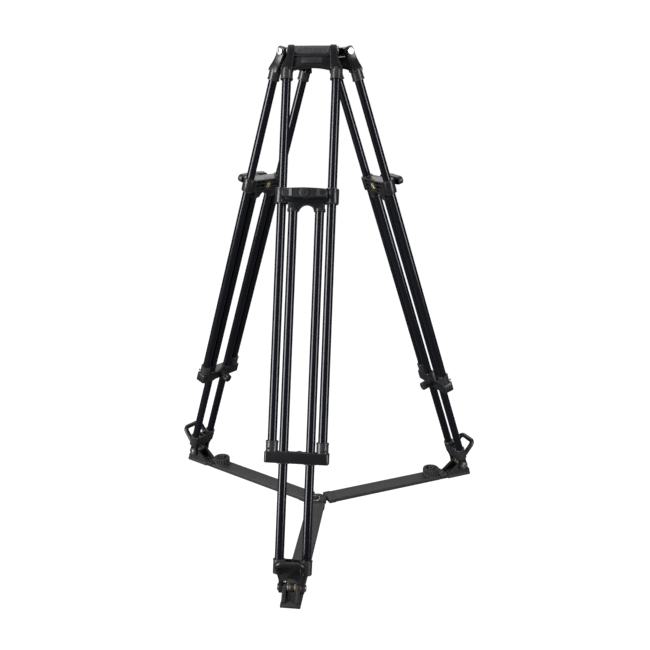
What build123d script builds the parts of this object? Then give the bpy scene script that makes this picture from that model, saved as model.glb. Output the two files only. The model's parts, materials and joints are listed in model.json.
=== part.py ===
from build123d import *
import os
from math import cos, radians, sin

# Camera tripod with a bowl crown, three twin-tube telescopic legs and a telescopic floor spreader.
# Millimetres, +Z up, the floor at z = 0 and the tripod's axis at the origin. Leg 1 points towards -Y.

# Driving dimensions of the stance
LEG_ANGLE = 18.87           # lean of a leg from plumb, degrees
PIVOT_RADIUS = 66.0         # tripod axis to a crown pivot
PIVOT_HEIGHT = 1240.7       # floor to a crown pivot
LEG_LENGTH = 1271.6         # crown pivot to foot bolt
LEG_TURNS = {1: 0.0, 2: -120.0, 3: 120.0}
RUN = 0.35                  # clearance between pieces that slide or turn

# Tubes
TUBE_R = 11.0
TUBE_WALL = 1.6
OUTER_X = 60.0              # leg centre line to an upper tube
INNER_X = 31.9              # leg centre line to a lower tube
COLLAR_R = 14.0

# Stations down a leg, measured from its crown pivot
YOKE_SOCKET_TOP, YOKE_SOCKET_END = 45.0, 71.5
OUTER_TOP, OUTER_END = 50.0, 980.0
CARRIAGE_TOP, CARRIAGE_END = 336.0, 369.0
BRACKET_END = 388.0
INNER_TOP, INNER_END = 372.0, 1236.0
LOWER_COLLAR_TOP, LOWER_TOP, LOWER_END = 933.0, 957.6, 983.7
FOOT_TOP, FOOT_END = 1207.0, 1241.0

# Crown
BARREL_R, BARREL_LENGTH = 11.3, 85.0
BOWL_R, BOWL_WALL_R = 50.0, 57.0
BOWL_TOP, BOWL_FLOOR = 1252.5, 1206.0
THROAT_R = 30.0
PIN_R = 5.0

# Spreader, by radius from the tripod axis
HUB_R, HUB_HEIGHT = 26.0, 15.0
RING_R, RING_WIRE_R = 15.0, 1.4
RING_HEIGHT, RING_TURN = 20.0, -115.0     # the ring's plane, and the side it lies to
CHANNEL_START, CHANNEL_END = 28.0, 398.0
CHANNEL_WIDTH, CHANNEL_LOW, CHANNEL_HIGH = 48.0, 2.0, 14.0
MID_START, MID_END = 180.0, 425.0
BAR_START = 230.0
FOOT_INNER, FOOT_OUTER = 426.0, 506.0
FOOT_RADIUS = PIVOT_RADIUS + LEG_LENGTH * sin(radians(LEG_ANGLE))
FOOT_HEIGHT = PIVOT_HEIGHT - LEG_LENGTH * cos(radians(LEG_ANGLE))
KNOB_RADIUS_OUT = 378.0     # where a spreader lock knob stands
KNOB_LOW, KNOB_HIGH = 20.0, 36.5


def on_leg(turn):
    """A leg's frame: origin at its pivot, X along the pivot, -Y outwards, Z up the leg."""
    return Location((0, 0, 0), (0, 0, turn)) * Location((0, -PIVOT_RADIUS, PIVOT_HEIGHT), (-LEG_ANGLE, 0, 0))


def on_floor(turn):
    """A spreader arm's frame: the tripod's own frame turned so that -Y runs along the arm."""
    return Location((0, 0, 0), (0, 0, turn))


def write_three(kind, part, frame):
    """Write a leg's or an arm's piece once for each of the three legs."""
    for number, turn in LEG_TURNS.items():
        placed = part.moved(frame(turn))
        placed.label = f"leg_{number}_{kind}"
        export_step(placed, f"parts/{placed.label}.step")


def write_one(name, part):
    """Write a piece that the tripod has only once."""
    part.label = name
    export_step(part, f"parts/{name}.step")


def both_sides(x, z=0.0, y=0.0):
    """Locations of a pair of features, one each side of the leg's centre line."""
    return Locations((x, y, z), (-x, y, z))


def tube_pair(x, top, end):
    """Two parallel tubes between two stations of a leg."""
    length = end - top
    with BuildPart() as tubes:
        with both_sides(x, -(top + end) / 2):
            Cylinder(TUBE_R, length)
            Cylinder(TUBE_R - TUBE_WALL, length, mode=Mode.SUBTRACT)
    return tubes.part


def socket_head(radius, height, recess_r, recess_depth):
    """A round screw head along +Z with a hexagonal socket in its top."""
    with BuildPart() as head:
        Cylinder(radius, height, align=(Align.CENTER, Align.CENTER, Align.MIN))
        fillet(head.edges().group_by(Axis.Z)[-1], height * 0.35)
        with BuildSketch(Plane.XY.offset(height)):
            RegularPolygon(recess_r, 6)
        extrude(amount=-recess_depth, mode=Mode.SUBTRACT)
    return head.part


def cross_pin(half_length, pin_r, head_r, head_height):
    """A pin along X with a socket head at each end."""
    head = socket_head(head_r, head_height, head_r * 0.55, head_height * 0.6)
    with BuildPart() as pin:
        Cylinder(pin_r, 2 * half_length, rotation=(0, 90, 0))
        add(head.moved(Location((half_length, 0, 0), (0, 90, 0))))
        add(head.moved(Location((-half_length, 0, 0), (0, -90, 0))))
    return pin.part


def lock_knob(radius, gap, length, stem_r, stem_length):
    """A ribbed clamp knob along +Z, standing on a plane at z = 0, with its stem below."""
    with BuildPart() as knob:
        with BuildSketch(Plane.XY.offset(gap)):
            Circle(radius)
            with PolarLocations(radius + 1.2, 12):
                Circle(2.0, mode=Mode.SUBTRACT)
        extrude(amount=length)
        chamfer(knob.edges().group_by(Axis.Z)[-1], 1.0)
        with Locations((0, 0, gap + 1)):
            Cylinder(stem_r, stem_length + gap + 1, align=(Align.CENTER, Align.CENTER, Align.MAX))
    return knob.part


# ---- Crown ------------------------------------------------------------------------------------------

def crown_casting():
    """The bowl, its throat and the three hinge barrels that the legs hang from."""
    with BuildPart() as crown:
        with BuildSketch(Plane.XZ):
            with BuildLine():
                Line((THROAT_R, BOWL_FLOOR), (THROAT_R, BOWL_FLOOR + 12))
                RadiusArc((THROAT_R, BOWL_FLOOR + 12), (BOWL_R, BOWL_TOP), 60)
                Line((BOWL_R, BOWL_TOP), (BOWL_WALL_R, BOWL_TOP))
                Line((BOWL_WALL_R, BOWL_TOP), (BOWL_WALL_R, BOWL_TOP - 22))
                RadiusArc((BOWL_WALL_R, BOWL_TOP - 22), (THROAT_R + 8, BOWL_FLOOR), -60)
                Line((THROAT_R + 8, BOWL_FLOOR), (THROAT_R, BOWL_FLOOR))
            make_face()
        revolve(axis=Axis.Z)
        with PolarLocations(0, 3):
            with Locations((0, -PIVOT_RADIUS, PIVOT_HEIGHT)):
                Cylinder(BARREL_R, BARREL_LENGTH, rotation=(0, 90, 0))
            with Locations((0, -(PIVOT_RADIUS + BOWL_WALL_R) / 2 + 2, PIVOT_HEIGHT)):
                Box(BARREL_LENGTH * 0.8, PIVOT_RADIUS - BOWL_WALL_R + 8, 16)
        with PolarLocations(0, 3):
            with Locations((0, -PIVOT_RADIUS, PIVOT_HEIGHT)):
                Cylinder(PIN_R + RUN, BARREL_LENGTH + 2, rotation=(0, 90, 0), mode=Mode.SUBTRACT)
        with BuildSketch(Plane.XY.offset(BOWL_TOP)):
            Circle(BOWL_R)
        extrude(amount=-(BOWL_TOP - BOWL_FLOOR - 20), taper=26, mode=Mode.SUBTRACT)
    return crown.part


# ---- Upper leg: moves with the crown's hinge --------------------------------------------------------

ARM_INNER, ARM_OUTER = 43.2, 59.0
PIVOT_HEAD_R = 8.5


def yoke():
    """The fork that hangs from the crown's barrel and holds the two upper tubes."""
    with BuildPart() as fork:
        for side in (1, -1):
            with BuildSketch(Plane.XZ):
                with BuildLine():
                    Line((side * ARM_INNER, 11), (side * ARM_OUTER, 11))
                    ThreePointArc((side * ARM_OUTER, 11), (side * 63, -18), (side * 72, -45))
                    Line((side * 72, -45), (side * 47, -45))
                    ThreePointArc((side * 47, -45), (side * 44.6, -28), (side * ARM_INNER, -11))
                    Line((side * ARM_INNER, -11), (side * ARM_INNER, 11))
                make_face()
            extrude(amount=11, both=True)
        fillet(fork.edges().filter_by(Axis.X).group_by(Axis.Z)[-1], 10.5)
        with both_sides(OUTER_X, -(YOKE_SOCKET_TOP + YOKE_SOCKET_END) / 2 + 1):
            Cylinder(COLLAR_R, YOKE_SOCKET_END - YOKE_SOCKET_TOP + 2)
        with BuildSketch(Plane.XZ):
            with BuildLine():
                Polyline((-48, -58), (-48, -14), (48, -14), (48, -58))
                ThreePointArc((48, -58), (0, -38), (-48, -58))
            make_face()
        extrude(amount=5, both=True)
        with BuildSketch(Plane.XZ.offset(5)):
            with Locations((0, -26)):
                RectangleRounded(42, 13, 3)
        extrude(amount=1.2)
        with both_sides(OUTER_X, -(OUTER_TOP + YOKE_SOCKET_END + 2) / 2):
            Cylinder(TUBE_R, YOKE_SOCKET_END + 2 - OUTER_TOP, mode=Mode.SUBTRACT)
        Cylinder(PIN_R, 140, rotation=(0, 90, 0), mode=Mode.SUBTRACT)
        with both_sides(ARM_OUTER + 10):
            Cylinder(PIVOT_HEAD_R + 1, 20, rotation=(0, 90, 0), mode=Mode.SUBTRACT)
    return fork.part


def lower_casting():
    """The bar at the upper tubes' lower ends, which guides the lower tubes."""
    depth = LOWER_END - LOWER_TOP
    with BuildPart() as bar:
        with BuildSketch(Plane.XY.offset(-LOWER_END)):
            SlotOverall(150, 30)
        extrude(amount=depth)
        fillet(bar.edges().group_by(Axis.Z)[-1], 2.5)
        fillet(bar.edges().group_by(Axis.Z)[0], 2.5)
        with both_sides(OUTER_X, -(LOWER_COLLAR_TOP + LOWER_TOP + 4) / 2):
            Cylinder(COLLAR_R, LOWER_TOP + 4 - LOWER_COLLAR_TOP)
        with Locations((0, -2, -LOWER_TOP - 0.5)):
            Cylinder(13, 6.5, align=(Align.CENTER, Align.CENTER, Align.MIN))
        with both_sides(OUTER_X, -(LOWER_COLLAR_TOP - 1 + OUTER_END) / 2):
            Cylinder(TUBE_R, OUTER_END - LOWER_COLLAR_TOP + 1, mode=Mode.SUBTRACT)
        with both_sides(INNER_X, -(LOWER_TOP + LOWER_END) / 2):
            Cylinder(TUBE_R + RUN, depth + 4, mode=Mode.SUBTRACT)
        with Locations((0, 15, -(LOWER_TOP + LOWER_END) / 2)):
            Cylinder(4 + RUN, 24, rotation=(90, 0, 0), mode=Mode.SUBTRACT)
    return bar.part


# ---- Lower leg: slides on the upper leg -------------------------------------------------------------

LEVER_SEAT = 17.0           # the carriage's front face, where the clamp lever stands


def carriage():
    """The clamp body that slides on the upper tubes and carries the lock knob."""
    middle = -(CARRIAGE_TOP + CARRIAGE_END) / 2
    height = CARRIAGE_END - CARRIAGE_TOP
    with BuildPart() as body:
        with both_sides(OUTER_X, middle):
            Cylinder(17, height)
        with Locations((0, 0, middle)):
            Box(2 * OUTER_X, 28, height)
        with BuildSketch(Plane.XZ.offset(14)):
            with Locations((0, middle)):
                RectangleRounded(100, 26, 6)
        extrude(amount=LEVER_SEAT - 14)
        for groove in (-8, 0, 8):
            with Locations((34, 14, middle + groove), (-34, 14, middle + groove)):
                Box(30, 2.4, 3, mode=Mode.SUBTRACT)
        with both_sides(OUTER_X, middle):
            Cylinder(TUBE_R + RUN, height + 2, mode=Mode.SUBTRACT)
        with Locations((0, 0, middle)):
            Cylinder(4 + RUN, 80, rotation=(90, 0, 0), mode=Mode.SUBTRACT)
    return body.part


def star_nut():
    """The six-point brass nut on the inner face of the carriage."""
    with BuildPart() as nut:
        with BuildSketch(Plane.XZ.offset(-14)):
            with Locations((0, -(CARRIAGE_TOP + CARRIAGE_END) / 2)):
                RegularPolygon(9.5, 3)
                RegularPolygon(9.5, 3, rotation=60)
        extrude(amount=-5)
    return nut.part


def inner_bracket():
    """The arched bracket under the carriage that holds the lower tubes' top ends."""
    with BuildPart() as arch:
        with BuildSketch(Plane.XZ):
            with BuildLine():
                Line((-44, -BRACKET_END), (-44, -CARRIAGE_END))
                Line((-44, -CARRIAGE_END), (44, -CARRIAGE_END))
                Line((44, -CARRIAGE_END), (44, -BRACKET_END))
                Line((44, -BRACKET_END), (19, -BRACKET_END))
                ThreePointArc((19, -BRACKET_END), (0, -CARRIAGE_END - 6), (-19, -BRACKET_END))
                Line((-19, -BRACKET_END), (-44, -BRACKET_END))
            make_face()
        extrude(amount=12.5, both=True)
        fillet(arch.edges().filter_by(Axis.Z), 8)
        with both_sides(INNER_X, -(INNER_TOP + BRACKET_END + 1) / 2):
            Cylinder(TUBE_R, BRACKET_END + 1 - INNER_TOP, mode=Mode.SUBTRACT)
    return arch.part


EAR_INNER, EAR_OUTER, LUG_R = 21.6, 30.0, 13.5
POST_MIDDLE, POST_THICKNESS = 16.8, 9.0


def foot_casting():
    """The casting on the lower tubes' ends whose ears stand either side of the foot bracket."""
    with BuildPart() as shoe:
        with both_sides(INNER_X, -(FOOT_TOP + FOOT_END) / 2):
            Cylinder(COLLAR_R, FOOT_END - FOOT_TOP)
        for side in (1, -1):
            with BuildSketch(Plane.XZ):
                Polygon((side * 18.5, -1226), (side * 38, -1236), (side * EAR_OUTER, -1250),
                        (side * EAR_OUTER, -LEG_LENGTH), (side * EAR_INNER, -LEG_LENGTH),
                        (side * EAR_INNER, -1252), align=None)
            extrude(amount=11, both=True)
            with Locations((side * (EAR_INNER + EAR_OUTER) / 2, 0, -LEG_LENGTH)):
                Cylinder(LUG_R, EAR_OUTER - EAR_INNER, rotation=(0, 90, 0))
        with BuildSketch(Plane.XZ):
            with BuildLine():
                Line((-26, -1244), (-26, -1212))
                Line((-26, -1212), (26, -1212))
                Line((26, -1212), (26, -1244))
                ThreePointArc((26, -1244), (0, -1228), (-26, -1244))
            make_face()
        extrude(amount=10, both=True)
        with both_sides(INNER_X, -(FOOT_TOP - 1 + INNER_END) / 2):
            Cylinder(TUBE_R, INNER_END - FOOT_TOP + 1, mode=Mode.SUBTRACT)
        with Locations((0, 0, -LEG_LENGTH)):
            Cylinder(PIN_R, 80, rotation=(0, 90, 0), mode=Mode.SUBTRACT)
    return shoe.part


GUARD_X, GUARD_BAR_R = 32.0, 7.0
GUARD_ROOT, GUARD_FRONT = (-19.0, -1229.0), (-50.0, -1208.0)


def guard_loop():
    """The round bar bent into a U that stands out in front of the foot casting."""
    with BuildPart() as loop:
        with BuildLine() as route:
            FilletPolyline((GUARD_X, *GUARD_ROOT), (GUARD_X, *GUARD_FRONT), (-GUARD_X, *GUARD_FRONT),
                           (-GUARD_X, *GUARD_ROOT), radius=12)
        with BuildSketch(Plane(origin=route.line @ 0, z_dir=route.line % 0)):
            Circle(GUARD_BAR_R)
        sweep()
    return loop.part


def foot_wheel():
    """The dark spacer with brass collars between the foot bracket's posts."""
    with BuildPart() as wheel:
        with Locations((0, 0, -LEG_LENGTH)):
            Cylinder(10, 13, rotation=(0, 90, 0))
            Cylinder(8, 23.4, rotation=(0, 90, 0))
            Cylinder(PIN_R, 30, rotation=(0, 90, 0), mode=Mode.SUBTRACT)
    return wheel.part


# ---- Spreader ---------------------------------------------------------------------------------------

def arm_foot():
    """The foot on the floor: base, two cheeks for the leg bolt and the bar inside the arm."""
    middle = -(FOOT_INNER + FOOT_OUTER) / 2
    with BuildPart() as bracket:
        with BuildSketch():
            with Locations((0, middle)):
                RectangleRounded(48, FOOT_OUTER - FOOT_INNER, 3)
        extrude(amount=9)
        for side in (1, -1):
            with BuildSketch(Plane.YZ.offset(side * POST_MIDDLE)):
                Polygon((-FOOT_OUTER + 1, 6), (-FOOT_INNER - 4, 6), (-FOOT_INNER - 6, 13),
                        (-FOOT_RADIUS + 9, FOOT_HEIGHT + 5), (-FOOT_RADIUS - 9, FOOT_HEIGHT + 5),
                        (-FOOT_OUTER + 1, 16), align=None)
            extrude(amount=POST_THICKNESS / 2, both=True)
            with Locations((side * POST_MIDDLE, -FOOT_RADIUS, FOOT_HEIGHT)):
                Cylinder(10.5, POST_THICKNESS, rotation=(0, 90, 0))
        with Locations((0, -(BAR_START + FOOT_INNER + 6) / 2, 8)):
            Box(20, FOOT_INNER + 6 - BAR_START, 4)
        with Locations((0, -FOOT_RADIUS, FOOT_HEIGHT)):
            Cylinder(PIN_R + RUN, 60, rotation=(0, 90, 0), mode=Mode.SUBTRACT)
    return bracket.part


def arm_mid():
    """The middle section of a telescopic arm with its ribbed collar."""
    with BuildPart() as mid:
        with Locations((0, -(MID_START + CHANNEL_END) / 2 - 1, 8)):
            Box(34, CHANNEL_END - MID_START + 2, 8)
        with Locations((0, -(CHANNEL_END + 1 + MID_END) / 2, 9)):
            Box(46, MID_END - CHANNEL_END - 1, 14)
        fillet(mid.edges().filter_by(Axis.Y).group_by(Axis.Z)[-1], 3)
        with Locations((0, -(MID_START + MID_END) / 2, 8)):
            Box(21.4, MID_END - MID_START + 4, 5.2, mode=Mode.SUBTRACT)
    return mid.part


def arm_channel():
    """The inner section of a telescopic arm, from the hub to the lock knob."""
    length = CHANNEL_END - CHANNEL_START
    centre = (CHANNEL_LOW + CHANNEL_HIGH) / 2
    with BuildPart() as channel:
        with Locations((0, -(CHANNEL_START + CHANNEL_END) / 2, centre)):
            Box(CHANNEL_WIDTH, length, CHANNEL_HIGH - CHANNEL_LOW)
        fillet(channel.edges().filter_by(Axis.Y), 2)
        with Locations((0, -CHANNEL_START - 11, centre + 0.5)):
            Box(CHANNEL_WIDTH + 3, 22, CHANNEL_HIGH - CHANNEL_LOW + 1)
        with Locations((0, -(CHANNEL_START + CHANNEL_END) / 2, centre)):
            Box(34 + 2 * RUN, length + 4, 8 + 2 * RUN, mode=Mode.SUBTRACT)
    return channel.part


def arm_knob():
    """The toothed wheel that locks a spreader arm."""
    with BuildPart() as wheel:
        with BuildSketch(Plane.XY.offset(KNOB_LOW)):
            with Locations((0, -KNOB_RADIUS_OUT)):
                Circle(25)
                with PolarLocations(25.8, 20):
                    Circle(2.2, mode=Mode.SUBTRACT)
        extrude(amount=KNOB_HIGH - KNOB_LOW)
        with Locations((0, -KNOB_RADIUS_OUT, (CHANNEL_HIGH + RUN + KNOB_LOW + 1) / 2)):
            Cylinder(18, KNOB_LOW + 1 - CHANNEL_HIGH - RUN)
        with Locations((0, -KNOB_RADIUS_OUT, KNOB_HIGH)):
            Cylinder(8, 5, align=(Align.CENTER, Align.CENTER, Align.MAX), mode=Mode.SUBTRACT)
    return wheel.part


def hub():
    """The centre block, standing on the floor, with a tongue into each arm and an eye for the ring."""
    with BuildPart() as centre:
        with BuildSketch():
            Circle(HUB_R)
        extrude(amount=HUB_HEIGHT)
        fillet(centre.edges().group_by(Axis.Z)[-1], 2)
        with PolarLocations(0, 3):
            with Locations((0, -HUB_R - 4, 8)):
                Box(24, 20, 4)
        with Locations(Location((0, 0, HUB_HEIGHT - 1), (0, 0, RING_TURN))):
            Box(10, 4, 11, align=(Align.CENTER, Align.CENTER, Align.MIN))
        with Locations(Location((0, 0, RING_HEIGHT), (0, 0, RING_TURN))):
            Cylinder(RING_WIRE_R + 0.8, 20, rotation=(90, 0, 0), mode=Mode.SUBTRACT)
    return centre.part


def hub_ring():
    """The steel pull ring, lying flat, with its wire through the hub's eye."""
    with BuildPart() as ring:
        with BuildSketch(Plane.XZ):
            with Locations((RING_R, 0)):
                Circle(RING_WIRE_R)
        revolve(axis=Axis.Z)
    to_centre = Location((0, 0, RING_HEIGHT), (0, 0, RING_TURN)) * Location((RING_R, 0, 0))
    return ring.part.moved(to_centre)


def lower_knob():
    """The clamp knob on the inner face of the lower casting."""
    middle = (LOWER_TOP + LOWER_END) / 2
    return lock_knob(12, 0.5, 32, 4, 8).moved(Location((0, 15, -middle), (-90, 0, 0)))


def clamp_lever():
    """The T-shaped lever on the carriage: a round boss with a long rounded bar across it."""
    with BuildPart() as lever:
        with BuildSketch(Plane.XY.offset(0.5)):
            Circle(12)
        extrude(amount=33)
        with BuildSketch(Plane.XY.offset(16)):
            SlotOverall(108, 21)
        extrude(amount=15)
        chamfer(lever.edges().group_by(Axis.Z)[-1], 1.5)
        with Locations((0, 0, 1)):
            Cylinder(4, 10, align=(Align.CENTER, Align.CENTER, Align.MAX))
    middle = (CARRIAGE_TOP + CARRIAGE_END) / 2
    return lever.part.moved(Location((0, -LEVER_SEAT, -middle), (90, 0, 0)))


def main():
    """Write every piece of the tripod."""
    os.makedirs("parts", exist_ok=True)
    pivot_pin = cross_pin(ARM_OUTER, PIN_R, PIVOT_HEAD_R, 4)
    foot_pin = cross_pin(EAR_OUTER, PIN_R, 8, 4).moved(Location((0, 0, -LEG_LENGTH)))
    write_one("crown", crown_casting())
    write_three("yoke", yoke(), on_leg)
    write_three("pivot_pin", pivot_pin, on_leg)
    write_three("outer_tubes", tube_pair(OUTER_X, OUTER_TOP, OUTER_END), on_leg)
    write_three("lower_casting", lower_casting(), on_leg)
    write_three("lower_knob", lower_knob(), on_leg)
    write_three("carriage", carriage(), on_leg)
    write_three("clamp_lever", clamp_lever(), on_leg)
    write_three("star_nut", star_nut(), on_leg)
    write_three("inner_bracket", inner_bracket(), on_leg)
    write_three("inner_tubes", tube_pair(INNER_X, INNER_TOP, INNER_END), on_leg)
    write_three("foot_casting", foot_casting(), on_leg)
    write_three("foot_pin", foot_pin, on_leg)
    write_three("foot_wheel", foot_wheel(), on_leg)
    write_three("guard_loop", guard_loop(), on_leg)
    write_three("arm_foot", arm_foot(), on_floor)
    write_three("arm_mid", arm_mid(), on_floor)
    write_three("arm_channel", arm_channel(), on_floor)
    write_three("arm_knob", arm_knob(), on_floor)
    write_one("hub", hub())
    write_one("hub_ring", hub_ring())


main()
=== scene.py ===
# %% [markdown]
# Camera tripod with a bowl crown, twin-tube telescopic legs and a floor spreader.
# The first step loads the frame: the CAD pieces, placed in the tripod's space, and the joints. Their sizes and
# places are settled, so every new piece below takes its place from them, and only looks are added here.

# %% Load the frame
import json
import math
import bmesh
import bpy
from mathutils import Matrix, Vector


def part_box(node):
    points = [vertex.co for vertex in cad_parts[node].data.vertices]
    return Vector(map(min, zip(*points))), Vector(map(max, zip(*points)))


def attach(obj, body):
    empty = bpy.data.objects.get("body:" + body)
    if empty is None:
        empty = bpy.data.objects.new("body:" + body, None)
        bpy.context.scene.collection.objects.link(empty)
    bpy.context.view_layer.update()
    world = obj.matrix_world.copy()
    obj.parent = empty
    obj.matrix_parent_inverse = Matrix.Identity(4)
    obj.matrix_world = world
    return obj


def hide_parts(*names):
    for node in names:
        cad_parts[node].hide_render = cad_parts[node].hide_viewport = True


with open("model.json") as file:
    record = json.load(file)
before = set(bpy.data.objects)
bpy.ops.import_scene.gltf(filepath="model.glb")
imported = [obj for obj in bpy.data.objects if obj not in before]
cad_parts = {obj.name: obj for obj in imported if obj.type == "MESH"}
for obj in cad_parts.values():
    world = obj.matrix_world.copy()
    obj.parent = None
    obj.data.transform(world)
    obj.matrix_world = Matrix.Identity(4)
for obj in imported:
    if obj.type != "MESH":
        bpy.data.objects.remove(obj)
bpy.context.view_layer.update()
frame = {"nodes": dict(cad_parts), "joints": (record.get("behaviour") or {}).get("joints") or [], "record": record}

# %% [markdown]
# A leg is built once, in its own frame, and placed three times. The frame's origin is the leg's pivot at
# the crown, X runs along the pivot, -Y points outwards and Z runs up the leg. Its lean and its pivot come
# from the joints, so the pieces follow the frame if it changes.

# %% Leg frames
JOINTS = {joint["name"]: joint for joint in frame["joints"]}
PIVOT = Vector(JOINTS["crown_level"]["pos_m"])
LEG_AXIS = Vector(JOINTS["leg_1_extend"]["axis"])
LEAN = math.atan2(LEG_AXIS.y, LEG_AXIS.z)
LEG_LENGTH = (Vector(JOINTS["leg_1_spread"]["pos_m"]) - PIVOT).length
LEG_TURNS = {1: 0.0, 2: math.radians(-120), 3: math.radians(120)}


def on_leg(number):
    """The matrix from a leg's own frame to the tripod's."""
    turn = Matrix.Rotation(LEG_TURNS[number], 4, "Z")
    return turn @ Matrix.Translation(PIVOT) @ Matrix.Rotation(-LEAN, 4, "X")


def on_floor(number):
    """The matrix from an arm's frame, where -Y runs along the arm, to the tripod's."""
    return Matrix.Rotation(LEG_TURNS[number], 4, "Z")


print("lean", round(math.degrees(LEAN), 2), "leg", round(LEG_LENGTH, 4))

# %% [markdown]
# Two effects are shared by most finishes. Grain is the fine unevenness that a cast, moulded or anodised
# skin has: a little colour drift, a little roughness drift and a very low bump. Edge wear is the paler
# line where paint or anodising has been rubbed off a sharp edge. Each is a node group, so its recipe is
# written once and every finish sets its own amounts.

# %% Shader groups


def new_group(name, inputs, outputs):
    """An empty shader group with named sockets: {name: (socket type, default)}."""
    group = bpy.data.node_groups.new(name, "ShaderNodeTree")
    for socket, (kind, default) in inputs.items():
        made = group.interface.new_socket(socket, in_out="INPUT", socket_type=kind)
        made.default_value = default
    for socket, kind in outputs.items():
        group.interface.new_socket(socket, in_out="OUTPUT", socket_type=kind)
    return group, group.nodes.new("NodeGroupInput"), group.nodes.new("NodeGroupOutput")


def math_node(tree, operation, first, second):
    """A Math node; each operand is a socket or a number."""
    node = tree.nodes.new("ShaderNodeMath")
    node.operation = operation
    for place, operand in enumerate((first, second)):
        if isinstance(operand, (int, float)):
            node.inputs[place].default_value = operand
        else:
            tree.links.new(operand, node.inputs[place])
    return node.outputs[0]


def grain_group():
    """Colour drift, roughness drift and bump height from two sizes of noise."""
    group, given, made = new_group(
        "Fine grain",
        {"Grain Size": ("NodeSocketFloat", 900.0), "Patch Size": ("NodeSocketFloat", 30.0),
         "Roughness": ("NodeSocketFloat", 0.4), "Spread": ("NodeSocketFloat", 0.1)},
        {"Drift": "NodeSocketFloat", "Roughness": "NodeSocketFloat", "Height": "NodeSocketFloat"})
    place = group.nodes.new("ShaderNodeTexCoord").outputs["Object"]
    noises = []
    for socket in ("Grain Size", "Patch Size"):
        noise = group.nodes.new("ShaderNodeTexNoise")
        noise.inputs["Detail"].default_value = 3.0
        group.links.new(place, noise.inputs["Vector"])
        group.links.new(given.outputs[socket], noise.inputs["Scale"])
        noises.append(noise.outputs["Fac"])
    fine, broad = noises
    mixed = math_node(group, "MULTIPLY", math_node(group, "ADD", fine, broad), 0.5)
    centred = math_node(group, "SUBTRACT", mixed, 0.5)
    swing = math_node(group, "MULTIPLY", centred, given.outputs["Spread"])
    group.links.new(math_node(group, "ADD", swing, given.outputs["Roughness"]), made.inputs["Roughness"])
    group.links.new(broad, made.inputs["Drift"])
    group.links.new(fine, made.inputs["Height"])
    return group


def wear_group():
    """A mask that is 1 on rubbed convex edges and 0 elsewhere."""
    group, given, made = new_group(
        "Edge wear", {"Amount": ("NodeSocketFloat", 0.5), "Breakup": ("NodeSocketFloat", 180.0)},
        {"Mask": "NodeSocketFloat"})
    point = group.nodes.new("ShaderNodeNewGeometry").outputs["Pointiness"]
    ramp = group.nodes.new("ShaderNodeMapRange")
    ramp.inputs["From Min"].default_value = 0.53
    ramp.inputs["From Max"].default_value = 0.62
    group.links.new(point, ramp.inputs["Value"])
    noise = group.nodes.new("ShaderNodeTexNoise")
    place = group.nodes.new("ShaderNodeTexCoord").outputs["Object"]
    group.links.new(place, noise.inputs["Vector"])
    group.links.new(given.outputs["Breakup"], noise.inputs["Scale"])
    broken = math_node(group, "MULTIPLY", ramp.outputs["Result"], noise.outputs["Fac"])
    group.links.new(math_node(group, "MULTIPLY", broken, given.outputs["Amount"]), made.inputs["Mask"])
    return group


GRAIN = grain_group()
WEAR = wear_group()
print("groups", GRAIN.name, WEAR.name)

# %% [markdown]
# The tripod has six finishes: glossy black anodised tube, satin black casting, dark grey painted spreader,
# black moulding, brass and bright steel. They differ in colour, metal or not, gloss and grain, so one
# function builds them all and a short table holds what differs.

# %% Finishes


def finish(name, low, high, metal, rough, spread, grain, patch, bump, wear=0.0, worn=(0.3, 0.3, 0.31),
           coat=0.0):
    """A finish whose colour drifts from low to high, with grain, bump and worn edges."""
    material = bpy.data.materials.new(name)
    material.use_nodes = True
    tree = material.node_tree
    shader = tree.nodes["Principled BSDF"]
    texture = tree.nodes.new("ShaderNodeGroup")
    texture.node_tree = GRAIN
    texture.inputs["Grain Size"].default_value = grain
    texture.inputs["Patch Size"].default_value = patch
    texture.inputs["Roughness"].default_value = rough
    texture.inputs["Spread"].default_value = spread
    edges = tree.nodes.new("ShaderNodeGroup")
    edges.node_tree = WEAR
    edges.inputs["Amount"].default_value = wear
    drift = tree.nodes.new("ShaderNodeMix")
    drift.data_type = "RGBA"
    drift.inputs["A"].default_value = (*low, 1)
    drift.inputs["B"].default_value = (*high, 1)
    tree.links.new(texture.outputs["Drift"], drift.inputs["Factor"])
    rubbed = tree.nodes.new("ShaderNodeMix")
    rubbed.data_type = "RGBA"
    rubbed.inputs["B"].default_value = (*worn, 1)
    tree.links.new(edges.outputs["Mask"], rubbed.inputs["Factor"])
    tree.links.new(drift.outputs["Result"], rubbed.inputs["A"])
    tree.links.new(rubbed.outputs["Result"], shader.inputs["Base Color"])
    tree.links.new(texture.outputs["Roughness"], shader.inputs["Roughness"])
    height = tree.nodes.new("ShaderNodeBump")
    height.inputs["Strength"].default_value = 0.35
    height.inputs["Distance"].default_value = bump
    tree.links.new(texture.outputs["Height"], height.inputs["Height"])
    if bump:
        tree.links.new(height.outputs["Normal"], shader.inputs["Normal"])
    shader.inputs["Metallic"].default_value = metal
    shader.inputs["Coat Weight"].default_value = coat
    shader.inputs["Coat Roughness"].default_value = 0.12
    return material


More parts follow.
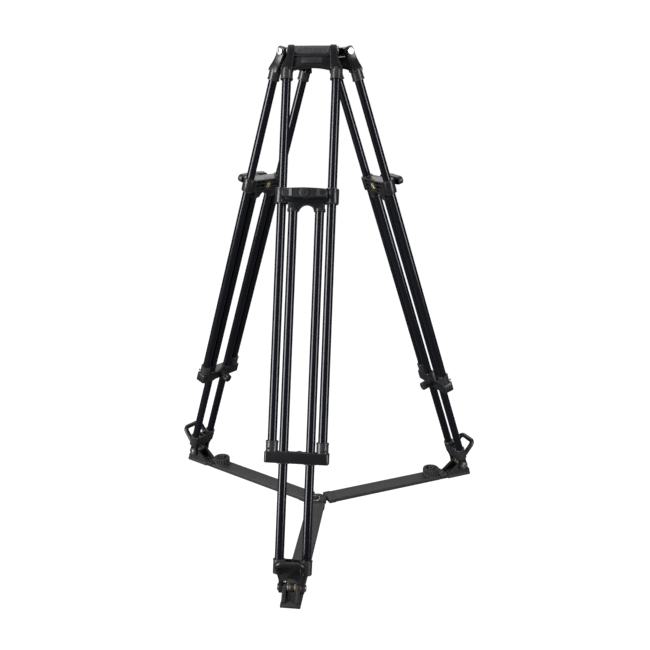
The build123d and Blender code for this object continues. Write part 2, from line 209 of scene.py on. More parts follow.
FINISHES = {
    "tube": finish("Black anodised tube", (0.005, 0.0055, 0.009), (0.009, 0.01, 0.015), 0.3, 0.17, 0.0,
                   1500, 14, 0.0),
    "casting": finish("Satin black casting", (0.005, 0.0052, 0.0062), (0.009, 0.0093, 0.0108), 0.0, 0.3, 0.08,
                      1100, 40, 0.00001, wear=0.3),
    "spreader": finish("Dark grey paint", (0.005, 0.005, 0.0053), (0.008, 0.008, 0.0086), 0.0, 0.6, 0.1,
                       1300, 18, 0.00006, wear=0.6),
    "moulding": finish("Black moulding", (0.008, 0.0083, 0.0095), (0.015, 0.0155, 0.0175), 0.0, 0.4, 0.14,
                       1600, 60, 0.0001, wear=0.25),
    "brass": finish("Brass", (0.72, 0.56, 0.3), (0.86, 0.72, 0.44), 0.9, 0.3, 0.2, 700, 120, 0.00003,
                    wear=0.4, worn=(0.95, 0.86, 0.62)),
    "steel": finish("Bright steel", (0.36, 0.36, 0.37), (0.48, 0.48, 0.49), 1.0, 0.3, 0.12, 900, 80, 0.00003),
}
for subpart in frame["record"]["subparts"]:
    mesh = frame["nodes"][subpart["node"]].data
    mesh.materials.clear()
    mesh.materials.append(FINISHES[subpart["material_slot"]])
print("finishes", ", ".join(FINISHES))

# %% [markdown]
# Every new piece ends the same way: its faces are turned outwards, its mesh is placed from its own frame
# into the tripod's, it takes a finish and it rides on a body. A bevelled edge catches a thin highlight, as
# the broken edge of a real casting does, so most solids here are bevelled before they are placed.

# %% Helpers for new pieces
MM = 0.001
UP = Vector((0, 0, 1))


def place_piece(name, bm, matrix, body, slot, replaced=(), smooth_angle=38, levels=0):
    """Turn a bmesh into a finished piece that rides on a body."""
    bmesh.ops.remove_doubles(bm, verts=bm.verts, dist=0.000005)
    bmesh.ops.recalc_face_normals(bm, faces=bm.faces)
    bm.transform(matrix @ Matrix.Scale(MM, 4))
    for face in bm.faces:
        face.smooth = True
    limit = math.radians(smooth_angle)
    for edge in bm.edges:
        edge.smooth = len(edge.link_faces) == 2 and edge.calc_face_angle(0.0) < limit
    mesh = bpy.data.meshes.new(name)
    bm.to_mesh(mesh)
    bm.free()
    mesh.materials.append(FINISHES[slot])
    piece = bpy.data.objects.new(name, mesh)
    bpy.context.scene.collection.objects.link(piece)
    if levels:
        rounder = piece.modifiers.new("round", "SUBSURF")
        rounder.levels = levels
        rounder.render_levels = levels
    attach(piece, body)
    if replaced:
        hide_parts(*replaced)
    return piece


def bevel(bm, edges, width, segments=3):
    """Round some edges."""
    bmesh.ops.bevel(bm, geom=list(edges), offset=width, offset_type="OFFSET", affect="EDGES",
                    segments=segments, profile=0.5, clamp_overlap=True, material=-1)


def sharp_edges(geometry, angle=30):
    """The edges among some geometry whose faces meet at more than an angle."""
    edges = {edge for item in geometry if isinstance(item, bmesh.types.BMFace) for edge in item.edges}
    return [edge for edge in edges
            if len(edge.link_faces) == 2 and edge.calc_face_angle(0.0) > math.radians(angle)]


def slab(bm, outline, start, end, axis="Y", width=1.0, segments=3):
    """A flat outline pushed from start to end along an axis, with its edges rounded.

    The outline's points are (x, z) for axis Y, (x, y) for axis Z and (y, z) for axis X."""
    seats = {"Y": lambda p: (p[0], start, p[1]), "Z": lambda p: (p[0], p[1], start),
             "X": lambda p: (start, *p)}
    push = {"Y": (0, end - start, 0), "Z": (0, 0, end - start), "X": (end - start, 0, 0)}[axis]
    verts = [bm.verts.new(seats[axis](point)) for point in outline]
    face = bm.faces.new(verts)
    grown = bmesh.ops.extrude_face_region(bm, geom=[face], use_keep_orig=True)["geom"]
    moved = [item for item in grown if isinstance(item, bmesh.types.BMVert)]
    bmesh.ops.translate(bm, verts=moved, vec=push)
    faces = {near for vert in verts + moved for near in vert.link_faces}
    if width:
        bevel(bm, sharp_edges(faces), width, segments)
    return verts + moved


def arc(centre, radius, start, end, steps=10):
    """Points along an arc, angles in degrees."""
    turns = [math.radians(start + (end - start) * step / steps) for step in range(steps + 1)]
    return [(centre[0] + radius * math.cos(turn), centre[1] + radius * math.sin(turn)) for turn in turns]


def turned(bm, profile, axis, centre=(0, 0, 0), steps=32):
    """A profile of (radius, height) points spun about an axis through a centre."""
    bore = Vector(axis)
    side = bore.orthogonal().normalized()
    middle = Vector(centre)
    verts = [bm.verts.new(middle + side * radius + bore * height) for radius, height in profile]
    edges = [bm.edges.new(pair) for pair in zip(verts, verts[1:])]
    made = bmesh.ops.spin(bm, geom=verts + edges, cent=middle, axis=bore, angle=math.tau, steps=steps,
                          use_merge=True, use_duplicate=False)
    return made


def rounded_rod(radius, start, end, edge=1.0):
    """The profile of a closed rod with broken ends."""
    return [(0, start), (radius - edge, start), (radius - edge * 0.3, start + edge * 0.3),
            (radius, start + edge),
            (radius, end - edge), (radius - edge * 0.3, end - edge * 0.3), (radius - edge, end), (0, end)]


def collar(outer, inner, start, end, edge=0.8):
    """The profile of a ring, closed on itself."""
    return [(inner, start), (outer - edge, start), (outer, start + edge), (outer, end - edge),
            (outer - edge, end), (inner, end), (inner, start)]


def lofted(bm, sections):
    """A solid through rectangles (z, x low, x high, y low, y high), from the first to the last."""
    def corners(section):
        height, x_low, x_high, y_low, y_high = section
        return [(x_low, y_low, height), (x_high, y_low, height), (x_high, y_high, height),
                (x_low, y_high, height)]
    rings = []
    for section in sections:
        ring = [bm.verts.new(corner) for corner in corners(section)]
        rings.append([bm.edges.new((ring[i], ring[(i + 1) % 4])) for i in range(4)])
    for lower, upper in zip(rings, rings[1:]):
        bmesh.ops.bridge_loops(bm, edges=lower + upper)
    bmesh.ops.holes_fill(bm, edges=rings[0] + rings[-1], sides=4)
    faces = {face for ring in rings for edge in ring for face in edge.link_faces}
    return faces


# Stations down a leg and its tube layout, in millimetres, as the frame has them.
OUTER_X, INNER_X, TUBE_R = 60.0, 31.9, 11.0
CARRIAGE = (-369.0, -336.0)
LOWER_BAR = (-983.7, -957.6)
EAR_INNER, EAR_OUTER = 21.6, 30.0
BOLT = -LEG_LENGTH / MM
print("leg length", round(-BOLT, 1), "mm, tube pairs at", OUTER_X, "and", INNER_X)

# %% [markdown]
# The yoke is one casting: two curved arms hang from the crown's barrel, swell into the tube sockets and
# are tied by a web with a shallow arch below. Each arm is a loft through a few rectangles with its edges
# rounded, which gives the soft taper of a casting that a straight extrusion doesn't have. The plate on the
# web is left blank.

# %% Yokes
ARM_SECTIONS = ((12.0, 43.2, 58.0, -7.0, 7.0), (9.5, 43.2, 59.0, -10.0, 10.0),
                (0.0, 43.2, 59.0, -11.8, 11.8), (-12.0, 43.2, 59.6, -11.6, 11.6),
                (-22.0, 43.6, 62.2, -12.2, 12.2), (-32.0, 44.4, 66.6, -12.8, 12.8),
                (-42.0, 45.6, 71.6, -13.6, 13.6), (-50.0, 46.0, 74.0, -14.0, 14.0))


def yoke(number):
    """The fork between the crown and the upper tubes."""
    bm = bmesh.new()
    for side in (1, -1):
        sections = [(z, *sorted((side * inner, side * outer)), low, high)
                    for z, inner, outer, low, high in ARM_SECTIONS]
        faces = lofted(bm, sections)
        bevel(bm, [edge for edge in sharp_edges(faces, 50)], 2.6, 4)
        turned(bm, collar(14.6, TUBE_R, -71.5, -44.0), (0, 0, 1), (side * OUTER_X, 0, 0))
        turned(bm, collar(15.4, 13.5, -71.5, -67.5, 0.5), (0, 0, 1), (side * OUTER_X, 0, 0))
    web = [(-46, -13), (46, -13)] + arc((0, -202), 165, 73.8, 106.2, 16)
    slab(bm, web, -5.0, 6.0, "Y", 1.2)
    slab(bm, [(-46, -16), (46, -16), (46, -13), (-46, -13)], -8.5, 8.5, "Y", 1.2)
    lip = arc((0, -202), 165, 73.8, 106.2, 16) + arc((0, -202), 161.5, 106.2, 73.8, 16)
    slab(bm, lip, -9.5, 9.5, "Y", 0.9)
    slab(bm, [(-25, -19.5), (25, -19.5), (25, -32), (-25, -32)], -6.0, -4.5, "Y", 0.4, 2)
    name = f"yoke_{number}"
    return place_piece(name, bm, on_leg(number), f"leg_{number}_upper", "casting", [f"leg_{number}_yoke"])


for number in LEG_TURNS:
    yoke(number)

# %% [markdown]
# The carriage slides on the upper tubes. It is a plain block with a collar round each tube and a shallow
# pad in front where the clamp lever stands. Behind, a frame and two thin bars stand on the block each side
# of the middle, so that three deep slots are left between them as in a ribbed casting.

# %% Carriages


def stadium(half_width, radius, middle, steps=10):
    """A stadium outline lying along X, centred on a height."""
    straight = half_width - radius
    return arc((straight, middle), radius, -90, 90, steps) + arc((-straight, middle), radius, 90, 270, steps)


def carriage(number):
    """The clamp body on the upper tubes."""
    low, high = CARRIAGE
    middle = (low + high) / 2
    bm = bmesh.new()
    body = (arc((60.5, 0), 16.5, -90, 90, 14) + [(47, 16.5), (47, 9), (-47, 9), (-47, 16.5)]
            + arc((-60.5, 0), 16.5, 90, 270, 14) + [(-58, -16.5), (-56.5, -14.5), (56.5, -14.5), (58, -16.5)])
    slab(bm, body, low, high, "Z", 1.4)
    slab(bm, stadium(52, 12.5, middle), -17.0, -13.0, "Y", 1.0)
    slab(bm, [(-15, low), (15, low), (15, high), (-15, high)], 8.0, 16.4, "Y", 0.8)
    for height in (low, middle - 6.9, middle + 4.4, high - 2.5):
        bar = [(-48, height), (48, height), (48, height + 2.5), (-48, height + 2.5)]
        slab(bm, bar, 8.0, 16.0, "Y", 0.5, 2)
    for side in (1, -1):
        turned(bm, collar(16.2, TUBE_R + 0.35, low - 2.0, low + 1, 0.7), (0, 0, 1), (side * OUTER_X, 0, 0))
        turned(bm, collar(16.2, TUBE_R + 0.35, high - 1, high + 2.0, 0.7), (0, 0, 1), (side * OUTER_X, 0, 0))
    name = f"carriage_{number}"
    return place_piece(name, bm, on_leg(number), f"leg_{number}_lower", "casting", [f"leg_{number}_carriage"])


def star_nut(number):
    """The six-point brass nut behind the carriage."""
    middle = sum(CARRIAGE) / 2
    bm = bmesh.new()
    points = []
    for step in range(12):
        radius = 10.5 if step % 2 == 0 else 5.6
        turn = math.radians(30 * step + 90)
        points.append((radius * math.cos(turn), middle + radius * math.sin(turn)))
    slab(bm, points, 14.2, 19.0, "Y", 0.9)
    turned(bm, rounded_rod(4.6, 18.0, 21.0, 0.8), (0, 1, 0), (0, 0, middle), 24)
    name = f"star_nut_{number}"
    return place_piece(name, bm, on_leg(number), f"leg_{number}_lower", "brass", [f"leg_{number}_star_nut"])


for number in LEG_TURNS:
    carriage(number)
    star_nut(number)

# %% [markdown]
# Each leg has two pairs of anodised tubes, which slide past each other as the leg extends. A tube is the
# same all the way round, so each is one full spin of its wall's profile, in 56 steps.

# %% Tubes
TUBE_BORE = 9.4


def tubes(number, kind, body, reach, span):
    """A pair of open tubes at equal distances from a leg's centre line."""
    bm = bmesh.new()
    for side in (1, -1):
        turned(bm, collar(TUBE_R, TUBE_BORE, *span, 0.6), (0, 0, 1), (side * reach, 0, 0), 56)
    return place_piece(f"{kind}_{number}", bm, on_leg(number), body, "tube", [f"leg_{number}_{kind}"])


for number in LEG_TURNS:
    tubes(number, "outer_tubes", f"leg_{number}_upper", OUTER_X, (-980.0, -50.0))
    tubes(number, "inner_tubes", f"leg_{number}_lower", INNER_X, (-1236.0, -372.0))

# %% [markdown]
# The bracket under the carriage carries the lower tubes' top ends either side of a round arch.

# %% Inner brackets


def inner_bracket(number):
    """The arched bracket that holds the lower tubes."""
    bm = bmesh.new()
    top, end = CARRIAGE[0] + 6, -388.0
    arch = arc((0, end - 4), 19.5, 14, 166, 16)
    outline = [(-43, end), (-43, top), (43, top), (43, end), (19.5, end)] + arch + [(-19.5, end)]
    slab(bm, outline, -13.0, 12.5, "Y", 1.6)
    for side in (1, -1):
        turned(bm, collar(14.0, TUBE_R, end - 1.5, end + 6), (0, 0, 1), (side * INNER_X, 0, 0))
    name = f"inner_bracket_{number}"
    return place_piece(name, bm, on_leg(number), f"leg_{number}_lower", "casting",
                       [f"leg_{number}_inner_bracket"])


for number in LEG_TURNS:
    inner_bracket(number)
print("brackets end at", CARRIAGE[0] - 19.0, "mm")

# %% [markdown]
# The casting at the upper tubes' lower ends is a deep flat bar with square shoulders. It stands a little
# proud of the tubes that pass through it, and has a socket for each upper tube.

# %% Lower castings


def lower_casting(number):
    """The bar that guides the lower tubes."""
    low, high = LOWER_BAR
    bm = bmesh.new()
    shell = [(-76, -13), (-72, -16.5), (72, -16.5), (76, -13), (76, 13), (72, 15.5), (-72, 15.5), (-76, 13)]
    slab(bm, shell, low, high, "Z", 1.4)
    for side in (1, -1):
        turned(bm, collar(14.5, TUBE_R, high - 2, -933.0, 1.0), (0, 0, 1), (side * OUTER_X, 0, 0))
        turned(bm, collar(15.3, 12.0, -937.5, -933.0, 0.6), (0, 0, 1), (side * OUTER_X, 0, 0))
        turned(bm, collar(16.4, TUBE_R + 0.35, low - 1.6, low + 1, 0.6), (0, 0, 1), (side * INNER_X, 0, 0))
        turned(bm, collar(13.4, TUBE_R + 0.35, high - 1, high + 1.6, 0.6), (0, 0, 1), (side * INNER_X, 0, 0))
        turned(bm, rounded_rod(2.6, 13.5, 17.0, 0.5), (0, -1, 0), (side * 69, 0, high + 6.5), 16)
    name = f"lower_casting_{number}"
    return place_piece(name, bm, on_leg(number), f"leg_{number}_upper", "casting",
                       [f"leg_{number}_lower_casting"])


for number in LEG_TURNS:
    lower_casting(number)
print("lower castings from", LOWER_BAR[0], "to", LOWER_BAR[1], "mm")

# %% [markdown]
# Clamp knobs are gripped with the fingertips, so their rims are fluted. A fluted rim is a circle whose
# points move in and out with the angle; it is pushed along the axis, inset and dished at the end.

# %% Knobs


def fluted(bm, radius, depth, flutes, bottom, top, dish):
    """A fluted wheel about Z with a dished top."""
    steps = flutes * 6
    made = bmesh.ops.create_circle(bm, segments=steps, radius=radius, cap_ends=True)
    for vert in made["verts"]:
        angle = math.atan2(vert.co.y, vert.co.x)
        reach = radius - depth * (0.5 - 0.5 * math.cos(flutes * angle))
        vert.co = Vector((reach * math.cos(angle), reach * math.sin(angle), bottom))
    face = next(iter(made["verts"][0].link_faces))
    grown = bmesh.ops.extrude_face_region(bm, geom=[face], use_keep_orig=True)["geom"]
    lid = next(item for item in grown if isinstance(item, bmesh.types.BMFace))
    bmesh.ops.translate(bm, verts=lid.verts[:], vec=(0, 0, top - bottom - 1.2))
    bmesh.ops.inset_region(bm, faces=[lid], thickness=1.2, depth=0.0)
    bmesh.ops.translate(bm, verts=lid.verts[:], vec=(0, 0, 1.2))
    bmesh.ops.inset_region(bm, faces=[lid], thickness=radius * 0.26, depth=0.0)
    bmesh.ops.inset_region(bm, faces=[lid], thickness=0.8, depth=0.0)
    bmesh.ops.translate(bm, verts=lid.verts[:], vec=(0, 0, -dish))


def lower_knob(number):
    """The clamp knob on the inner face of the lower casting."""
    bm = bmesh.new()
    fluted(bm, 12.0, 1.3, 12, 0.6, 31.8, 1.6)
    turned(bm, rounded_rod(8.4, -1.0, 4.0, 0.8), (0, 0, 1))
    turned(bm, rounded_rod(3.2, 28.0, 31.4, 0.6), (0, 0, 1), (0, 0, 0), 18)
    seat = (on_leg(number) @ Matrix.Translation((0, 15.5 * MM, sum(LOWER_BAR) / 2 * MM))
            @ Matrix.Rotation(math.radians(-90), 4, "X"))
    return place_piece(f"lower_knob_{number}", bm, seat, f"lower_knob_{number}", "moulding",
                       [f"leg_{number}_lower_knob"])


def clamp_lever(number):
    """The T-shaped lever: a boss with a long bar whose ends are dished for the fingers."""
    bm = bmesh.new()
    turned(bm, rounded_rod(12.0, 0.4, 20.0, 1.2), (0, 0, 1))
    bow = arc((0, 0), 10.5, -90, 90, 10)
    right = [(x + 43.5, y) for x, y in bow]
    crest = [(24, 11.6), (0, 12.4), (-24, 11.6)]
    bar = right + crest + [(-x, -y) for x, y in right + crest]
    slab(bm, bar, 16.0, 31.0, "Z", 2.6, 4)
    for side in (1, -1):
        turned(bm, collar(8.6, 7.2, 30.4, 31.6, 0.5), (0, 0, 1), (side * 43.5, 0, 0), 32)
        facet = [(-8.5, 30.0), (-8.5, 34.0), (8.5, 34.0), (8.5, 30.0)]
        tilt = Matrix.Translation((side * 26.5, 0, 0)) @ Matrix.Rotation(math.radians(side * 14), 4, "Y")
        tilt = tilt @ Matrix.Translation((0, 0, -1.6))
        bmesh.ops.transform(bm, matrix=tilt, verts=slab(bm, facet, -5.5, 5.5, "X", 0.0))
    turned(bm, rounded_rod(11.4, 28.0, 33.4, 1.4), (0, 0, 1), (0, 0, 0), 40)
    turned(bm, collar(9.0, 7.4, 33.0, 34.0, 0.3), (0, 0, 1), (0, 0, 0), 40)
    seat = (on_leg(number) @ Matrix.Translation((0, -17.0 * MM, sum(CARRIAGE) / 2 * MM))
            @ Matrix.Rotation(math.radians(90), 4, "X"))
    return place_piece(f"clamp_lever_{number}", bm, seat, f"lever_{number}", "moulding",
                       [f"leg_{number}_clamp_lever"])


def arm_knob(number):
    """The toothed wheel that locks a spreader arm."""
    bm = bmesh.new()
    fluted(bm, 25.0, 2.0, 20, 20.2, 35.6, 3.0)
    turned(bm, rounded_rod(18.0, 14.5, 21.0, 0.6), (0, 0, 1))
    turned(bm, collar(8.8, 6.2, 30.0, 36.6, 0.8), (0, 0, 1), (0, 0, 0), 28)
    for step in range(20):
        spoke = Matrix.Rotation(math.tau * (step + 0.5) / 20, 4, "Z")
        rib = slab(bm, [(17.4, -1.2), (23.0, -1.2), (23.0, 1.2), (17.4, 1.2)], 33.0, 36.4, "Z", 0.0)
        bmesh.ops.transform(bm, matrix=spoke, verts=rib)
    seat = on_floor(number) @ Matrix.Translation((0, -0.378, 0))
    return place_piece(f"arm_knob_{number}", bm, seat, f"arm_knob_{number}", "moulding",
                       [f"leg_{number}_arm_knob"])


for number in LEG_TURNS:
    clamp_lever(number)
    lower_knob(number)
    arm_knob(number)

# %% [markdown]
# The foot casting grips both lower tubes and narrows to two ears. Between the ears sit the foot bracket's
# posts, and between those a dark roller with a brass collar each side. A web with a round arch ties the
# ears together.

# %% Foot castings and rollers
EAR_SECTIONS = ((-1216.0, 19.0, 40.0, -13.6, 13.6), (-1234.0, 19.5, 38.4, -13.4, 13.4),
                (-1244.0, 20.4, 33.4, -12.8, 12.8), (-1254.0, EAR_INNER, 30.2, -12.2, 12.2),
                (BOLT, EAR_INNER, EAR_OUTER, -12.6, 12.6))


def foot_casting(number):
    """The casting at the lower tubes' ends, open between its two webs at the top."""
    bm = bmesh.new()
    for side in (1, -1):
        turned(bm, collar(14.2, TUBE_R, -1241.0, -1207.0, 1.4), (0, 0, 1), (side * INNER_X, 0, 0))
        turned(bm, collar(14.9, 12.6, -1211.0, -1207.0, 0.6), (0, 0, 1), (side * INNER_X, 0, 0))
        sections = [(z, *sorted((side * inner, side * outer)), low, high)
                    for z, inner, outer, low, high in EAR_SECTIONS]
        bevel(bm, sharp_edges(lofted(bm, sections), 50), 1.8, 3)
        turned(bm, rounded_rod(13.5, EAR_INNER, EAR_OUTER + 0.2, 1.6), (side, 0, 0), (0, 0, BOLT), 40)
        shoulder = [(side * 20, -1240), (side * 34, -1240), (side * 34, -1209), (side * 20, -1209)]
        slab(bm, shoulder, 9.0, 14.2, "Y", 1.0)
    inner_web = [(-34, -1209), (34, -1209), (34, -1232), (14, -1244), (-14, -1244), (-34, -1232)]
    slab(bm, inner_web, 9.5, 14.0, "Y", 1.4)
    front_web = [(-30, -1214), (30, -1214), (27, -1256)] + arc((0, -1268), 20, 35, 145, 16) + [(-27, -1256)]
    slab(bm, front_web, -13.0, -7.5, "Y", 1.2)
    slab(bm, [(-1.5, -1230), (1.5, -1230), (1.5, -1211), (-1.5, -1211)], -8.0, 10.0, "Y", 0.6, 2)
    slab(bm, [(-21, -1240), (21, -1240), (21, -1236), (-21, -1236)], -8.0, 10.0, "Y", 0.6, 2)
    rim = arc((0, -1268), 22.5, 35, 145, 16) + arc((0, -1268), 19.4, 145, 35, 16)
    slab(bm, rim, -14.2, -7.0, "Y", 0.7)
    name = f"foot_casting_{number}"
    return place_piece(name, bm, on_leg(number), f"leg_{number}_lower", "casting",
                       [f"leg_{number}_foot_casting"])


def foot_roller(number):
    """The dark roller and its brass collars on the foot bolt."""
    body = f"leg_{number}_lower"
    dark = bmesh.new()
    spacer = [(5, -5.6), (9.2, -5.6), (10.2, -4.6), (10.8, 0.0), (10.2, 4.6), (9.2, 5.6), (5, 5.6), (5, -5.6)]
    turned(dark, spacer, (1, 0, 0), (0, 0, BOLT))
    place_piece(f"roller_{number}", dark, on_leg(number), body, "moulding", [f"leg_{number}_foot_wheel"])
    brass = bmesh.new()
    for side in (1, -1):
        turned(brass, collar(8.6, 5.0, side * 8.8 - 2.9, side * 8.8 + 2.9, 0.9), (1, 0, 0), (0, 0, BOLT))
        turned(brass, collar(9.2, 5.0, side * 8.8 - 1.0, side * 8.8 + 1.0, 0.5), (1, 0, 0), (0, 0, BOLT))
    place_piece(f"brass_collars_{number}", brass, on_leg(number), body, "brass")


for number in LEG_TURNS:
    foot_casting(number)
    foot_roller(number)

# %% [markdown]
# The guard in front of each foot is a round bar bent into a U that rises from the casting's shoulders.
# A circle stands at one end of the bend and is extruded from point to point, turned to each new run, so
# the bar keeps its thickness round the corners.

# %% Guards
GUARD_X, GUARD_BAR_R, GUARD_CORNER = 32.0, 7.0, 13.0
GUARD_ROOT, GUARD_FRONT = Vector((0, -12.0, -1233.7)), Vector((0, -50.0, -1208.0))


def guard(number):
    """The bent bar in front of the foot casting."""
    rise = (GUARD_FRONT - GUARD_ROOT).normalized()
    side = Vector((1, 0, 0))
    corner = GUARD_FRONT - rise * GUARD_CORNER
    half = [GUARD_ROOT + side * GUARD_X]
    for step in range(9):
        turn = math.radians(90 * step / 8)
        half.append(corner + side * (GUARD_X - GUARD_CORNER + GUARD_CORNER * math.cos(turn))
                    + rise * GUARD_CORNER * math.sin(turn))
    route = half + [Vector((-point.x, point.y, point.z)) for point in reversed(half)]
    bm = bmesh.new()
    rings = []
    for place, point in enumerate(route):
        before = route[max(place - 1, 0)]
        after = route[min(place + 1, len(route) - 1)]
        aim = (after - before).normalized().to_track_quat("Z", "Y").to_matrix().to_4x4()
        seat = Matrix.Translation(point) @ aim
        made = bmesh.ops.create_circle(bm, segments=20, radius=GUARD_BAR_R, matrix=seat)
        rings.append(list({edge for vert in made["verts"] for edge in vert.link_edges}))
    for lower, upper in zip(rings, rings[1:]):
        bmesh.ops.bridge_loops(bm, edges=lower + upper)
    bmesh.ops.holes_fill(bm, edges=rings[0] + rings[-1], sides=20)
    name = f"guard_{number}"
    return place_piece(name, bm, on_leg(number), f"leg_{number}_lower", "casting",
                       [f"leg_{number}_guard_loop"], smooth_angle=60)


for number in LEG_TURNS:
    guard(number)

# %% [markdown]
# Each foot is a casting as wide as the arm: a plate on the floor with two cheeks that rise to the bolt.
# The cheeks' outline has straight flanks and a round top about the bolt. The bar that slides inside the
# arm starts from the same plate.

# %% Feet
FOOT_BOLT = Vector(JOINTS["leg_1_spread"]["pos_m"]) / MM
FOOT_RADIUS, FOOT_HEIGHT = -FOOT_BOLT.y, FOOT_BOLT.z


def arm_foot(number):
    """The foot plate with its cheeks and the bar inside the arm."""
    bm = bmesh.new()
    plate = [(-24, -505.6), (24, -505.6), (24, -426), (-24, -426)]
    slab(bm, plate, 0.0, 9.0, "Z", 1.4)
    slab(bm, [(-12, -504), (12, -504), (12, -436), (-12, -436)], 8.0, 12.0, "Z", 1.0)
    for side in (1, -1):
        cheek = ([(-504.8, 5), (-504.8, 16)] + arc((-FOOT_RADIUS, FOOT_HEIGHT), 10.8, 160, 25, 12)
                 + [(-432, 14), (-428, 12), (-428, 5)])
        inner, outer = sorted((side * 12.3, side * 21.2))
        slab(bm, cheek, inner, outer, "X", 1.1)
        turned(bm, rounded_rod(3.4, 8.0, 13.4, 0.8), (0, 0, 1), (side * 6.5, -446, 0), 20)
    slab(bm, [(-10, -430), (10, -430), (10, -230), (-10, -230)], 6.0, 10.0, "Z", 0.6, 2)
    name = f"arm_foot_{number}"
    return place_piece(name, bm, on_floor(number), f"foot_{number}", "spreader", [f"leg_{number}_arm_foot"])


def arm_mid(number):
    """The middle section and its ribbed collar."""
    bm = bmesh.new()
    slab(bm, [(-17, -399), (17, -399), (17, -180), (-17, -180)], 4.0, 12.0, "Z", 1.0, 2)
    slab(bm, [(-23, -425), (23, -425), (23, -399.5), (-23, -399.5)], 2.0, 15.0, "Z", 1.6)
    for step in range(4):
        rib = -422.0 + 6.2 * step
        slab(bm, [(-23.8, rib), (23.8, rib), (23.8, rib + 3.0), (-23.8, rib + 3.0)], 2.2, 16.0, "Z", 0.8, 2)
    name = f"arm_mid_{number}"
    return place_piece(name, bm, on_floor(number), f"arm_{number}_mid", "moulding", [f"leg_{number}_arm_mid"])


for number in LEG_TURNS:
    arm_foot(number)
    arm_mid(number)
print("foot bolts", round(FOOT_RADIUS, 1), "mm out and", round(FOOT_HEIGHT, 1), "mm up")

# %% [markdown]
# An arm's inner section is a plain flat tube with its long edges broken, a thicker sleeve at the hub with
# two small screws, and a low boss under the lock knob. The hub is a turned disc with an eye, and the pull
# ring is round wire: a small circle spun about the ring's middle.

# %% Arms, hub and ring


def arm_channel(number):
    """The inner section of an arm."""
    bm = bmesh.new()
    slab(bm, [(-24, -398), (24, -398), (24, -29), (-24, -29)], 2.0, 14.0, "Z", 1.6)
    slab(bm, [(-25.5, -50), (25.5, -50), (25.5, -28), (-25.5, -28)], 1.6, 14.8, "Z", 1.6)
    turned(bm, rounded_rod(21.0, 13.0, 14.3, 0.5), (0, 0, 1), (0, -377, 0))
    for side in (1, -1):
        turned(bm, rounded_rod(3.0, 14.0, 16.2, 0.7), (0, 0, 1), (side * 14, -40, 0), 20)
    body = "hub" if number == 1 else f"arm_{number}_channel"
    name = f"arm_channel_{number}"
    return place_piece(name, bm, on_floor(number), body, "spreader", [f"leg_{number}_arm_channel"])


def hub_ring():
    """The pull ring, lying flat to one side of the hub's eye."""
    low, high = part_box("hub_ring")
    middle = (low + high) / 2 / MM
    wire = 1.4
    bm = bmesh.new()
    made = bmesh.ops.create_circle(bm, segments=14, radius=wire)
    turn = Matrix.Rotation(math.radians(90), 4, "X")
    seat = Matrix.Translation(middle + Vector((15.0, 0, 0))) @ turn
    bmesh.ops.transform(bm, matrix=seat, verts=made["verts"])
    bmesh.ops.spin(bm, geom=bm.edges[:], cent=middle, axis=UP, angle=math.tau, steps=64, use_merge=True)
    return place_piece("pull_ring", bm, Matrix.Identity(4), "ring", "steel", ["hub_ring"])


for number in LEG_TURNS:
    arm_channel(number)
hub_ring()

# %% [markdown]
# The studio: a pale floor, a white surround, and two tall soft boxes that draw the long highlights down
# the tubes, with a card high behind that the level faces mirror. Black gloss is lit with boxes at both
# sides, because gloss shows only what it mirrors. The surround is dimmer to the surfaces than to the
# camera, so black stays black.

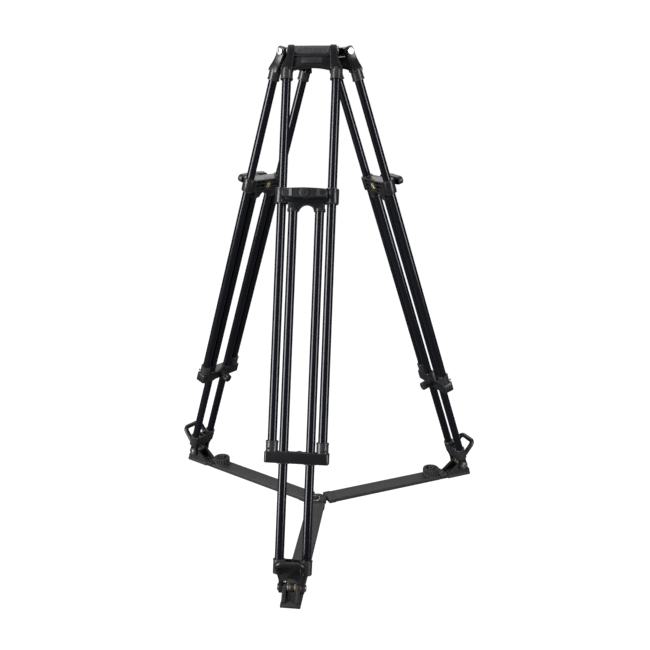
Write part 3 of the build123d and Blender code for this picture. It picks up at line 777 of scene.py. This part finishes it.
# %% Floor, lights and camera
floor_mesh = bpy.data.meshes.new("floor")
shaping = bmesh.new()
bmesh.ops.create_grid(shaping, x_segments=2, y_segments=2, size=9.0)
shaping.to_mesh(floor_mesh)
shaping.free()
floor = bpy.data.objects.new("floor", floor_mesh)
bpy.context.scene.collection.objects.link(floor)
floor_paint = bpy.data.materials.new("Pale floor")
floor_paint.use_nodes = True
floor_paint.node_tree.nodes["Principled BSDF"].inputs["Base Color"].default_value = (0.1, 0.1, 0.1, 1)
floor_paint.node_tree.nodes["Principled BSDF"].inputs["Roughness"].default_value = 0.8
floor_mesh.materials.append(floor_paint)
paper = floor_paint.node_tree
paper.nodes["Principled BSDF"].inputs["Emission Color"].default_value = (1, 1, 1, 1)
glow = math_node(paper, "MULTIPLY", paper.nodes.new("ShaderNodeLightPath").outputs["Is Camera Ray"], 1.0)
paper.links.new(glow, paper.nodes["Principled BSDF"].inputs["Emission Strength"])

world = bpy.data.worlds.new("studio")
bpy.context.scene.world = world
world.use_nodes = True
sky = world.node_tree
surround = sky.nodes["Background"]
surround.inputs["Color"].default_value = (1, 1, 1, 1)
seen = sky.nodes.new("ShaderNodeLightPath").outputs["Is Camera Ray"]
strength = math_node(sky, "ADD", math_node(sky, "MULTIPLY", seen, 0.97), 0.05)
sky.links.new(strength, surround.inputs["Strength"])


def soft_light(name, place, target, width, height, power):
    """A rectangular light at place, facing target."""
    light = bpy.data.lights.new(name, "AREA")
    light.shape = "RECTANGLE"
    light.size = width
    light.size_y = height
    light.energy = power
    lamp = bpy.data.objects.new(name, light)
    lamp.location = place
    lamp.rotation_euler = (Vector(target) - Vector(place)).to_track_quat("-Z", "Y").to_euler()
    bpy.context.scene.collection.objects.link(lamp)


MIDDLE = (0.0, 0.0, 0.65)
soft_light("left box", (-2.2, -1.7, 1.3), MIDDLE, 1.0, 2.8, 130)
soft_light("right box", (2.4, -1.3, 1.2), MIDDLE, 0.6, 2.6, 60)
soft_light("top", (0.0, -0.2, 3.2), MIDDLE, 2.4, 1.8, 12)
soft_light("back card", (0.0, 3.0, 2.9), MIDDLE, 5.0, 2.4, 62)

camera_data = bpy.data.cameras.new("camera")
camera_data.lens = 45.22
camera_data.sensor_width = 36.0
camera = bpy.data.objects.new("camera", camera_data)
camera.location = (0.2692, -2.1102, 1.1622)
camera.rotation_euler = (math.radians(73.59), 0.0, math.radians(6.673))
bpy.context.scene.collection.objects.link(camera)
bpy.context.scene.camera = camera
bpy.context.scene.view_settings.view_transform = "Standard"
